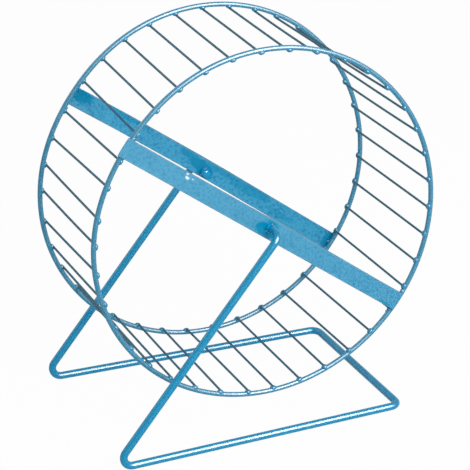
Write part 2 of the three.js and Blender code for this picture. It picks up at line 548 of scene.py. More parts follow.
@dataclass
class Drum:
    """The turning wheel: hoops, rungs and bars. Sizes in millimetres."""

    axle_height: float = 122.1
    diameter: float = 202.8
    width: float = 90.0
    hoop_wire: float = 2.8
    rung_wire: float = 1.3
    rung_count: int = 38
    rung_inset: float = 0.7
    seat_gap: float = 0.3
    # The rungs leave a wider gap at the hoops' butt joints, where each hoop also lies a little further in.
    seam_gap_pitches: float = 1.17
    seam_flat: float = 1.45
    seam_reach: float = 41.0
    tilt_degrees: float = 35.9
    bar_thickness: float = 1.0
    bar_width: float = 10.9
    bar_edge_round: float = 0.28
    hole_radius: float = 2.5
    hole_steps: int = 48
    front_hole_offset: float = 0.7
    rear_hole_offset: float = 1.55
    # The front bar sits off centre along its length. The rear one stops short of the hoop's edge.
    front_bar_shift: float = 1.65
    rear_bar_short: float = 1.15
    # The rear bar is bent at its far end, bowed in its middle and sags at its seam end.
    rear_bar_bend: float = 0.7
    rear_bend_reach: float = 100.0
    rear_bend_power: float = 1.5
    rear_bar_bow: float = 0.4
    rear_bow_reach: float = 40.0
    rear_bar_sag: float = 0.85
    rear_sag_from: float = 60.0
    rear_sag_over: float = 40.0
    # The front bar's upper edge bulges beside the hub and is lower towards the far end.
    front_bar_bulge: float = 0.32
    front_bulge_at: float = 12.0
    front_bulge_reach: float = 18.0
    front_dip_from: float = 45.0
    front_dip_over: float = 35.0
    bar_end_steps: int = 8
    bar_edge_steps: int = 36
    bar_edge_reach: float = 90.0
    bar_edge_facets: int = 4
    merge_distance: float = 0.001
    patch_thickness: float = 8.0
    weld_sink: float = 0.4
    rung_bow: float = 0.3
    rung_seed: int = 11
    rung_rings: int = 41
    rung_sides: int = 14
    rung_end_slim: float = 0.75
    hoop_steps: int = 288
    hoop_sides: int = 24
    skews: tuple[Skew, ...] = (
        Skew(1, 1, -0.6, -1.0),
        Skew(2, 2, 0.0, -1.6),
        Skew(3, 3, -0.4, 0.6),
        Skew(4, 4, -1.2, -1.2),
        Skew(5, 5, 1.2, -1.2),
        Skew(6, 6, 1.6, 0.6),
        Skew(10, 10, -1.5, -0.7),
        Skew(13, 13, -0.5, 0.8),
        Skew(17, 18, 0.1, 0.7),
        Skew(19, 19, 0.3, 1.5),
        Skew(20, 26, 0.4, 0.1),
        Skew(27, 27, 0.9, -0.8),
        Skew(31, 37, -1.7, 1.4),
        Skew(38, 38, -1.5, 1.4),
    )
    paint: BlueEnamel = field(default_factory=lambda: BlueEnamel("blue_stoving_enamel_wheel"))
    rung_paint: BlueEnamel = field(
        default_factory=lambda: BlueEnamel(
            "blue_enamel_rungs_painted_shade",
            # Darker, greyer blues than the hoops': painted shade on the thin rungs.
            "3e7085",
            "2f5e72",
            roughness=0.5,
            specular=0.1,
            # The last rung's front half is painted a bluer colour than the others.
            pool_and_shading_colour="0a6690",
            pool_and_shading_roughness=0.5,
            pools_and_shading=(Patch((-72.6, -22.5, 185.3), (8, 25, 8)),),
        )
    )
    # Deeper blue on the front bar round the hub, as painted shade cast by the stub and its ear, and near the far hoop,
    # as painted shade where bar and hoop meet.
    front_pools_and_shade: Places = (
        (-3.6, -1.9, 4.8, 4.0, 1.0),
        (0.4, -0.8, 5.6, 5.6, 1.0),
        (92.0, -5.8, 6.0, 1.4, 0.8),
    )
    # Small pale spots on the front bar, and one on the rear bar.
    front_pale_spots: Places = (
        (-59.9, 1.7, 1.5, 0.9, 1.0),
        (-60.9, 3.6, 1.0, 0.8, 0.9),
        (-56.3, 2.4, 0.7, 0.6, 0.6),
    )
    # Deeper blue on the rear bar round the hub, as painted shade cast by the stub's tip, at both ends, as painted
    # shade where the hoop crosses the bar, and in fainter stretches along the bar.
    rear_pools_and_shade: Places = (
        (-5.6, 2.6, 7.5, 3.4, 0.8),
        (0.6, 0.2, 6.0, 5.0, 0.9),
        (-93.0, 3.4, 9.0, 4.2, 0.9),
        (97.5, 0.5, 3.2, 7.0, 0.9),
        (33.0, 4.4, 17.0, 3.8, 0.5),
        (10.0, 5.6, 14.0, 2.6, 0.5),
        (-15.0, 5.4, 7.0, 3.2, 0.6),
        (60.0, 0.0, 12.0, 2.0, 0.35),
        (-60.0, 5.6, 18.0, 1.8, 0.5),
    )
    rear_pale_spots: Places = ((99.1, 0.8, 0.8, 0.7, 0.6),)

    @property
    def hoop_radius(self) -> float:
        """Radius of a hoop's centre line."""
        return (self.diameter - self.hoop_wire) / 2

    @property
    def rung_radius(self) -> float:
        """Radius at which the rungs' centre lines lie."""
        return self.hoop_radius - (self.hoop_wire + self.rung_wire) / 2 - self.seat_gap

    @property
    def rung_pitch(self) -> float:
        """Angle between rungs, in radians."""
        return 2 * math.pi / (self.rung_count - 1 + self.seam_gap_pitches)

    @property
    def to_rest(self) -> Matrix:
        """Places the wheel, made round the origin, on its axle at the angle that it rests at."""
        lift = Matrix.Translation((0, 0, self.axle_height * MM))
        return lift @ Matrix.Rotation(math.radians(self.tilt_degrees), 4, "Y")

    def bar_middle(self, side: Side) -> float:
        """Gives how far above the hub hole the middle of a bar lies, in millimetres."""
        return -self.front_hole_offset if side is Side.FRONT else self.rear_hole_offset

    def seam_flat_at(self, angle: float) -> float:
        """Gives how far in the hoops lie.

        Args:
            angle: Angle round the wheel in radians. The seams are at half a turn.

        Returns:
            The distance inwards in millimetres.
        """
        arc = self.hoop_radius * math.atan2(-math.sin(angle), -math.cos(angle))
        return self.seam_flat * math.exp(-((arc / self.seam_reach) ** 2))

    def rung_angle(self, number: int) -> float:
        """Gives the angle of a rung, counted from 1 next to the seam."""
        return math.pi + self.rung_pitch * (self.seam_gap_pitches / 2 + number - 1)

    def slip(self, number: int, side: Side) -> float:
        """Gives how far round the hoop one end of a rung is out of place, in millimetres."""
        found = [skew for skew in self.skews if skew.first <= number <= skew.last]
        if not found:
            return 0.0
        return found[0].front if side is Side.FRONT else found[0].rear

    def build(self) -> None:
        """Builds and dresses every piece of the wheel."""
        enamel = self.paint.make()
        for side in Side:
            self.hoop(side, enamel)
            self.bar(side, self.bar_paint(side).make())
        self.rungs(self.rung_paint.make())

    def bar_patches(self, side: Side, places: Places) -> tuple[Patch, ...]:
        """Turns places on a bar into patches in the part's frame.

        Args:
            side: Which bar.
            places: Along, across, half length, half width and depth of each.

        Returns:
            The patches.
        """
        plane = side.value * self.width / 2 * MM
        patches = []
        for along, across, length, width, depth in places:
            middle = self.to_rest @ Vector((along * MM, plane, across * MM)) / MM
            reach = (length, self.patch_thickness, width)
            patches.append(Patch(tuple(middle), reach, self.tilt_degrees, depth))
        return tuple(patches)

    def bar_paint(self, side: Side) -> BarEnamel:
        """Gives the paint of one bar. The rear one is more saturated and less glossy."""
        front = side is Side.FRONT
        return BarEnamel(
            f"blue_satin_enamel_{side.word}_bar",
            "439cc2" if front else "36a0c8",
            "1082b0" if front else "007cae",
            mottle_mm=9.0,
            mottle_share=0.4,
            grain_mm=1.5,
            grain_share=0.6 if front else 0.8,
            roughness=0.45,
            specular=0.18 if front else 0.12,
            pool_and_shading_colour="008fb8" if front else "0087b2",
            pools_and_shading=self.bar_patches(side, self.front_pools_and_shade if front else self.rear_pools_and_shade),
            pale_spots=self.bar_patches(side, self.front_pale_spots if front else self.rear_pale_spots),
            axle_height=self.axle_height,
            turn=self.tilt_degrees,
            bar_middle=self.bar_middle(side),
            bar_half_width=self.bar_width / 2,
        )

    def seat(self, piece: Object, slot: str, nodes: list[str]) -> None:
        """Puts a piece made round the origin in its place on the wheel.

        Args:
            piece: The object.
            slot: Not used.
            nodes: The solids that it stands for.
        """
        piece.data.transform(self.to_rest)
        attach(piece, "wheel")
        if nodes:
            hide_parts(*nodes)
        LOG.info("%s: %d faces", piece.name, len(piece.data.polygons))

    def hoop(self, side: Side, enamel: Material) -> None:
        """Rolls one hoop.

        Args:
            side: Which end of the wheel it is on.
            enamel: Its paint.
        """
        recipe = Recipe(
            f"{side.word}_hoop_rule",
            {
                "Hoop Radius": self.hoop_radius * MM,
                "Wire Radius": self.hoop_wire / 2 * MM,
                "Seam Flat": self.seam_flat * MM,
                "Seam Reach": self.seam_reach * MM,
                "Steps": self.hoop_steps,
                "Sides": self.hoop_sides,
            },
        )
        ring = recipe.put(
            "GeometryNodeCurvePrimitiveCircle",
            {"Resolution": recipe.size("Steps"), "Radius": recipe.size("Hoop Radius")},
        )
        place = recipe.put("GeometryNodeInputPosition")
        parts = add_node(recipe.tree, "ShaderNodeSeparateXYZ", {0: place})
        back = recipe.put("ShaderNodeMath", {0: parts.outputs["X"], 1: -1.0}, operation="MULTIPLY")
        angle = recipe.put("ShaderNodeMath", {0: parts.outputs["Y"], 1: back}, operation="ARCTAN2")
        inward = inward_of_seam(recipe, angle)
        outward = recipe.put("ShaderNodeMath", {0: inward, 1: -1.0}, operation="MULTIPLY")
        way = recipe.put("ShaderNodeVectorMath", {0: place}, operation="NORMALIZE")
        shift = recipe.put("ShaderNodeVectorMath", {0: way, "Scale": outward}, operation="SCALE")
        bent = recipe.put("GeometryNodeSetPosition", {"Geometry": ring, "Offset": shift})
        section = recipe.put(
            "GeometryNodeCurvePrimitiveCircle",
            {"Resolution": recipe.size("Sides"), "Radius": recipe.size("Wire Radius")},
        )
        wire = recipe.put("GeometryNodeCurveToMesh", {"Curve": bent, "Profile Curve": section})
        recipe.finish(wire, enamel)
        piece = recipe.make(f"{side.word}_hoop_wire")
        across = side.value * (self.width - self.hoop_wire) / 2 * MM
        piece.data.transform(Matrix.Translation((0, across, 0)) @ Matrix.Rotation(math.pi / 2, 4, "X"))
        self.seat(piece, "hoop_paint", [f"{side.word}_hoop"])

    def rung_points(self, recipe: Recipe) -> NodeSocket:
        """Adds the points that the rungs are laid on.

        Args:
            recipe: The rungs' tree.

        Returns:
            The points, each with its own share of bow.
        """
        put, size = recipe.put, recipe.size
        number = put("GeometryNodeInputIndex")
        step = put("ShaderNodeMath", {0: number, 1: size("Pitch")}, operation="MULTIPLY")
        from_seam = put("ShaderNodeMath", {0: step, 1: size("First Angle")}, operation="ADD")
        half_turn = put("ShaderNodeMath", {0: from_seam, 1: math.pi}, operation="SUBTRACT")
        wrapped = put("ShaderNodeMath", {0: from_seam, 1: math.pi, 2: -math.pi}, operation="WRAP")
        inward = inward_of_seam(recipe, wrapped)
        radius = put("ShaderNodeMath", {0: size("Rung Radius"), 1: inward}, operation="SUBTRACT")
        sides = {}
        for axis, rule in (("X", "COSINE"), ("Z", "SINE")):
            share = put("ShaderNodeMath", {0: half_turn}, operation=rule)
            sides[axis] = put("ShaderNodeMath", {0: radius, 1: share}, operation="MULTIPLY")
        spot = put("ShaderNodeCombineXYZ", sides)
        spots = put("GeometryNodeSetPosition", {"Geometry": recipe.source.outputs["Geometry"], "Position": spot})
        chance = add_node(
            recipe.tree,
            "FunctionNodeRandomValue",
            {2: -1.0, 3: 1.0, "ID": number, "Seed": size("Seed")},
            data_type="FLOAT",
        )
        return put(
            "GeometryNodeStoreNamedAttribute",
            {"Geometry": spots, "Name": "bow", "Value": chance.outputs[1]},
            data_type="FLOAT",
        )

    def rung_wire_shape(self, recipe: Recipe) -> NodeSocket:
        """Adds one straight rung along Y.

        Args:
            recipe: The rungs' tree.

        Returns:
            The rung, with rounded cut ends and its rings closer together towards them.
        """
        tree, put, size = recipe.tree, recipe.put, recipe.size
        line = put("GeometryNodeCurvePrimitiveLine", {"Start": (0, -1, 0), "End": (0, 1, 0)})
        fine = put("GeometryNodeResampleCurve", {"Curve": line, "Count": size("Rings")})
        along = add_node(tree, "ShaderNodeSeparateXYZ", {0: put("GeometryNodeInputPosition")}).outputs["Y"]
        quarter = put("ShaderNodeMath", {0: along, 1: math.pi / 2}, operation="MULTIPLY")
        eased = put("ShaderNodeMath", {0: quarter}, operation="SINE")
        stretched = put("ShaderNodeMath", {0: eased, 1: size("Half Length")}, operation="MULTIPLY")
        ring_spot = put("ShaderNodeCombineXYZ", {"Y": stretched})
        spaced = put("GeometryNodeSetPosition", {"Geometry": fine, "Position": ring_spot})
        section = put(
            "GeometryNodeCurvePrimitiveCircle", {"Resolution": size("Sides"), "Radius": size("Wire Radius")}
        )
        wire = put("GeometryNodeCurveToMesh", {"Curve": spaced, "Profile Curve": section, "Fill Caps": True})
        at = put("GeometryNodeInputPosition")
        parts = add_node(tree, "ShaderNodeSeparateXYZ", {0: at})
        reach = put("ShaderNodeMath", {0: parts.outputs["Y"]}, operation="ABSOLUTE")
        left = put("ShaderNodeMath", {0: size("Half Length"), 1: reach}, operation="SUBTRACT")
        share = put("ShaderNodeMath", {0: left, 1: size("End Round")}, operation="DIVIDE", use_clamp=True)
        missing = put("ShaderNodeMath", {0: 1.0, 1: share}, operation="SUBTRACT")
        square = put("ShaderNodeMath", {0: missing, 1: 2.0}, operation="POWER")
        most = put("ShaderNodeMath", {0: square, 1: size("End Slim")}, operation="MULTIPLY")
        rest = put("ShaderNodeMath", {0: 1.0, 1: most}, operation="SUBTRACT")
        slim = put("ShaderNodeMath", {0: rest}, operation="SQRT")
        across = put("ShaderNodeCombineXYZ", {"X": slim, "Y": 1.0, "Z": slim})
        rounded = put("ShaderNodeVectorMath", {0: at, 1: across}, operation="MULTIPLY")
        return put("GeometryNodeSetPosition", {"Geometry": wire, "Position": rounded})

    def rung_slack(self, recipe: Recipe) -> NodeSocket:
        """Adds how far a point of a rung stands off the straight.

        Args:
            recipe: The rungs' tree.

        Returns:
            The way from the straight: towards or away from the axle where the rung bows, and round the
            wheel where its ends slipped.
        """
        tree, put, size = recipe.tree, recipe.put, recipe.size
        bow_share, rear, front = (
            put("GeometryNodeInputNamedAttribute", {"Name": name}, data_type="FLOAT")
            for name in ("bow", "rear", "front")
        )
        here = put("GeometryNodeInputPosition")
        here_parts = add_node(tree, "ShaderNodeSeparateXYZ", {0: here})
        way_along = put("ShaderNodeMath", {0: here_parts.outputs["Y"], 1: size("Half Length")}, operation="DIVIDE")
        way_square = put("ShaderNodeMath", {0: way_along, 1: way_along}, operation="MULTIPLY")
        belly = put("ShaderNodeMath", {0: 1.0, 1: way_square}, operation="SUBTRACT")
        bow = put("ShaderNodeMath", {0: bow_share, 1: size("Bow")}, operation="MULTIPLY")
        bow_here = put("ShaderNodeMath", {0: bow, 1: belly}, operation="MULTIPLY")
        to_rear = put("ShaderNodeMath", {0: way_along, 1: 0.5, 2: 0.5}, operation="MULTIPLY_ADD")
        slip_here = put("ShaderNodeMix", {"Factor": to_rear, "A": front, "B": rear}, data_type="FLOAT")
        flat_way = put("ShaderNodeVectorMath", {0: here, 1: (1, 0, 1)}, operation="MULTIPLY")
        outwards = put("ShaderNodeVectorMath", {0: flat_way}, operation="NORMALIZE")
        round_way = put("ShaderNodeVectorMath", {0: outwards, 1: (0, 1, 0)}, operation="CROSS_PRODUCT")
        bowed = put("ShaderNodeVectorMath", {0: outwards, "Scale": bow_here}, operation="SCALE")
        slanted = put("ShaderNodeVectorMath", {0: round_way, "Scale": slip_here}, operation="SCALE")
        return put("ShaderNodeVectorMath", {0: bowed, 1: slanted}, operation="ADD")

    def rungs(self, enamel: Material) -> None:
        """Lays the rungs inside the hoops, each a little bowed or slanted, with rounded cut ends.

        Args:
            enamel: Their paint.
        """
        recipe = Recipe(
            "rung_rule",
            {
                "Pitch": self.rung_pitch,
                "First Angle": self.rung_pitch * self.seam_gap_pitches / 2,
                "Rung Radius": (self.rung_radius + self.weld_sink) * MM,
                "Hoop Radius": self.hoop_radius * MM,
                "Seam Flat": self.seam_flat * MM,
                "Seam Reach": self.seam_reach * MM,
                "Half Length": (self.width / 2 - self.rung_inset) * MM,
                "Wire Radius": self.rung_wire / 2 * MM,
                "End Round": self.rung_wire / 2 * MM,
                "End Slim": self.rung_end_slim,
                "Bow": self.rung_bow * MM,
                "Rings": self.rung_rings,
                "Sides": self.rung_sides,
                "Seed": self.rung_seed,
            },
        )
        laid = recipe.put(
            "GeometryNodeInstanceOnPoints",
            {"Points": self.rung_points(recipe), "Instance": self.rung_wire_shape(recipe)},
        )
        real = recipe.put("GeometryNodeRealizeInstances", {"Geometry": laid})
        slack_wire = recipe.put("GeometryNodeSetPosition", {"Geometry": real, "Offset": self.rung_slack(recipe)})
        recipe.finish(slack_wire, enamel)
        numbers = range(1, self.rung_count + 1)
        base = bpy.data.meshes.new("rung_wires")
        base.from_pydata([(0, 0, 0)] * self.rung_count, [], [])
        for side in Side:
            # Round the wheel from X to Z, which is the other way about +Y.
            slips = base.attributes.new(side.word, "FLOAT", "POINT")
            slips.data.foreach_set("value", [self.slip(number, side) * MM for number in numbers])
        piece = recipe.make("rung_wires", base)
        names = [f"rung_{number:02d}" for number in numbers]
        self.seat(piece, "rung_paint", names)

    def bar_outline(self, side: Side) -> tuple[list, list]:
        """Gives a bar's outline and its hole in the bar's own plane, in millimetres.

        Args:
            side: Which end of the wheel the bar is on.

        Returns:
            The corners of the outline and those of the hole.
        """
        # Both bars are drawn with their middle below the hole. The rear one is then turned over.
        offset = abs(self.bar_middle(side))
        seam_end = self.diameter / 2 - self.seam_flat
        far_end = self.diameter / 2
        if side is Side.FRONT:
            seam_end, far_end = seam_end + self.front_bar_shift, far_end - self.front_bar_shift
        else:
            seam_end -= self.rear_bar_short
        low, high = -offset - self.bar_width / 2, -offset + self.bar_width / 2
        outline = []
        for radius, start, end in ((far_end, low, high), (-seam_end, high, low)):
            for i in range(self.bar_end_steps + 1):
                height = start + (end - start) * i / self.bar_end_steps
                outline.append((math.copysign(math.sqrt(radius * radius - height * height), radius), height))
            # The long edge that follows has points too, so that it can bend.
            reach, steps = math.copysign(self.bar_edge_reach, radius), self.bar_edge_steps
            outline += [(reach * (1 - 2 * i / steps), end) for i in range(steps + 1)]
        turns = [2 * math.pi * i / self.hole_steps for i in range(self.hole_steps)]
        hole = [(self.hole_radius * math.cos(a), self.hole_radius * math.sin(a)) for a in turns]
        # The bar's edges leave the straight, but its hole stays on the axle, clear of the stub.
        if side is Side.REAR:
            outline = [(x, y + self.rear_bar_offset(x)) for x, y in outline]
        else:
            outline = [(x, y + self.front_bar_swell(x) * max(0.0, y / high)) for x, y in outline]
        return outline, hole

    def front_bar_swell(self, along: float) -> float:
        """Gives how far the front bar's upper edge stands above straight, at a place along it in millimetres."""
        past = min(1.0, max(0.0, (along - self.front_dip_from) / self.front_dip_over))
        bell = math.exp(-(((along - self.front_bulge_at) / self.front_bulge_reach) ** 2))
        return self.front_bar_bulge * (bell - past)

    def rear_bar_offset(self, along: float) -> float:
        """Gives how far down the rear bar is bent off straight, at a place along it in millimetres."""
        drop = self.rear_bar_bend * (max(0.0, along) / self.rear_bend_reach) ** self.rear_bend_power
        drop += self.rear_bar_sag * max(0.0, (-along - self.rear_sag_from) / self.rear_sag_over)
        return drop - self.rear_bar_bow * math.exp(-((along / self.rear_bow_reach) ** 2))

    def bar(self, side: Side, enamel: Material) -> None:
        """Cuts one flat bar from strip, with rounded edges and a punched hub hole.

        Args:
            side: Which end of the wheel it is on.
            enamel: Its paint.
        """
        curve = bpy.data.curves.new("bar_outline", "CURVE")
        curve.dimensions = "2D"
        curve.fill_mode = "BOTH"
        curve.bevel_depth = self.bar_edge_round * MM
        curve.bevel_resolution = self.bar_edge_facets
        curve.offset = -self.bar_edge_round * MM
        curve.extrude = (self.bar_thickness / 2 - self.bar_edge_round) * MM
        for places in self.bar_outline(side):
            spline = curve.splines.new("POLY")
            spline.points.add(len(places) - 1)
            for point, (x, y) in zip(spline.points, places):
                point.co = (x * MM, y * MM, 0, 1)
            spline.use_cyclic_u = True
        holder = bpy.data.objects.new("bar_outline", curve)
        bpy.context.scene.collection.objects.link(holder)
        mesh = bpy.data.meshes.new_from_object(holder.evaluated_get(bpy.context.evaluated_depsgraph_get()))
        bpy.data.objects.remove(holder)
        shape = bmesh.new()
        shape.from_mesh(mesh)
        bmesh.ops.remove_doubles(shape, verts=shape.verts, dist=self.merge_distance * MM)
        bmesh.ops.recalc_face_normals(shape, faces=shape.faces)
        for face in shape.faces:
            face.smooth = abs(face.normal.z) < ALIKE
        shape.to_mesh(mesh)
        shape.free()
        mesh.materials.clear()
        mesh.materials.append(enamel)
        piece = mesh_object(f"{side.word}_bar_strip", mesh)
        place = (self.width / 2 + self.seat_gap + self.bar_thickness / 2) * MM
        mesh.transform(Matrix.Translation((0, -place, 0)) @ Matrix.Rotation(math.pi / 2, 4, "X"))
        if side is Side.REAR:
            mesh.transform(Matrix.Rotation(math.pi, 4, "X"))
        self.seat(piece, "bar_paint", [f"{side.word}_bar"])


@dataclass
class Welds:
    """Spot welds under the paint, where rungs and bars meet the hoops. Sizes in millimetres."""

    drum: Drum
    # Each weld's reach from the axle, along the axle and round the wheel.
    rung_weld: tuple[float, float, float] = (1.35, 1.6, 1.9)
    bar_weld: tuple[float, float, float] = (1.5, 1.1, 1.9)
    spatter: tuple[float, float, float] = (0.8, 0.7, 0.75)
    # From the hoop's middle out to a bar's weld, in to it, and from the bar's edge to it.
    bar_weld_out: float = 0.6
    bar_weld_in: float = 0.5
    bar_weld_beside: float = 0.1
    # From a bar's weld to its spatter: inwards, towards the wheel's middle, and round in radians.
    spatter_in: float = 1.0
    spatter_back: float = 0.8
    spatter_round: float = 0.028
    spatter_lean: tuple[float, float] = (0.3, 0.2)
    lump: float = 0.22
    lump_size: float = 1.4
    fineness: int = 3

    def recipe(self, enamel: Material) -> Recipe:
        """Makes the rule that puts a lump of weld on each given point.

        Args:
            enamel: The paint over the welds.

        Returns:
            The tree, which reads each point's size and turn.
        """
        recipe = Recipe(
            "weld_rule",
            {"Lump": self.lump * MM, "Lump Scale": 1 / (self.lump_size * MM), "Fineness": self.fineness},
        )
        put, size = recipe.put, recipe.size
        nugget = put("GeometryNodeMeshIcoSphere", {"Radius": 1.0, "Subdivisions": size("Fineness")})
        girth, turn = (
            put("GeometryNodeInputNamedAttribute", {"Name": name}, data_type="FLOAT_VECTOR")
            for name in ("girth", "turn")
        )
        laid = put(
            "GeometryNodeInstanceOnPoints",
            {"Points": recipe.source.outputs["Geometry"], "Instance": nugget, "Rotation": turn, "Scale": girth},
        )
        real = put("GeometryNodeRealizeInstances", {"Geometry": laid})
        noise = put(
            "ShaderNodeTexNoise",
            {"Vector": put("GeometryNodeInputPosition"), "Scale": size("Lump Scale"), "Detail": 1.0},
        )
        middle = put("ShaderNodeMath", {0: noise, 1: 0.5}, operation="SUBTRACT")
        height = put("ShaderNodeMath", {0: middle, 1: size("Lump")}, operation="MULTIPLY")
        doubled = put("ShaderNodeMath", {0: height, 1: 2.0}, operation="MULTIPLY")
        shift = put("ShaderNodeVectorMath", {0: put("GeometryNodeInputNormal"), "Scale": doubled}, operation="SCALE")
        lumpy = put("GeometryNodeSetPosition", {"Geometry": real, "Offset": shift})
        recipe.finish(lumpy, enamel)
        return recipe

    def make(self, name: str, spots: list[tuple], enamel: Material) -> None:
        """Lays one set of welds.

        Args:
            name: The piece's name.
            spots: Place, size and turn of each weld, on the wheel made round the origin.
            enamel: The paint over the welds.
        """
        base = bpy.data.meshes.new(name)
        base.from_pydata([tuple(Vector(place) * MM) for place, _, _ in spots], [], [])
        girths = base.attributes.new("girth", "FLOAT_VECTOR", "POINT")
        turns = base.attributes.new("turn", "FLOAT_VECTOR", "POINT")
        for i, (_, girth, turn) in enumerate(spots):
            girths.data[i].vector = Vector(girth) * MM
            turns.data[i].vector = turn
        piece = self.recipe(enamel).make(name, base)
        self.drum.seat(piece, "hoop_paint", [])

    def rung_spots(self) -> list[tuple]:
        """Gives the welds between every rung and both hoops."""
        drum = self.drum
        between = (drum.hoop_radius + drum.rung_radius) / 2
        across = (drum.width - drum.hoop_wire) / 2
        spots = []
        for number in range(1, drum.rung_count + 1):
            for side in Side:
                angle = drum.rung_angle(number) + drum.slip(number, side) / drum.rung_radius
                radius = between - drum.seam_flat_at(angle)
                place = (radius * math.cos(angle), side.value * across, radius * math.sin(angle))
                spots.append((place, self.rung_weld, (0, -angle, 0)))
        return spots

    def bar_spots(self) -> list[tuple]:
        """Gives the welds between each bar's ends and its hoop, along both edges of the bar."""
        drum = self.drum
        tip, twist = self.spatter_lean
        spots = []
        for side in Side:
            across = side.value * ((drum.width - drum.hoop_wire) / 2 + self.bar_weld_out)
            back = across - side.value * self.spatter_back
            for end in (-1, 1):
                radius = drum.hoop_radius - (drum.seam_flat if end < 0 else 0) - self.bar_weld_in
                inner = radius - self.spatter_in
                for edge in (-1, 1):
                    height = drum.bar_middle(side) + edge * (drum.bar_width / 2 + self.bar_weld_beside)
                    angle = math.atan2(height, end * radius)
                    place = (radius * math.cos(angle), across, radius * math.sin(angle))
                    spots.append((place, self.bar_weld, (0, -angle, 0)))
                    aside = angle + edge * end * self.spatter_round
                    place = (inner * math.cos(aside), back, inner * math.sin(aside))
                    spots.append((place, self.spatter, (tip, -angle, twist)))
        return spots

    def build(self) -> None:
        """Builds both sets of welds."""
        enamel = BlueEnamel(
            "blue_stoving_enamel_over_weld",
            "3f90b2",
            "0f7ca8",
            mottle_mm=2.5,
            mottle_share=0.9,
            roughness=0.38,
            specular=0.2,
        ).make()
        self.make("rung_welds", self.rung_spots(), enamel)
        self.make("bar_welds", self.bar_spots(), enamel)


# ---- The stand ----


@dataclass(frozen=True)
class Press:
    """A place on the stub that was squeezed flat: its distance from the wheel's middle, and its turn."""

    place: float
    turn_degrees: float


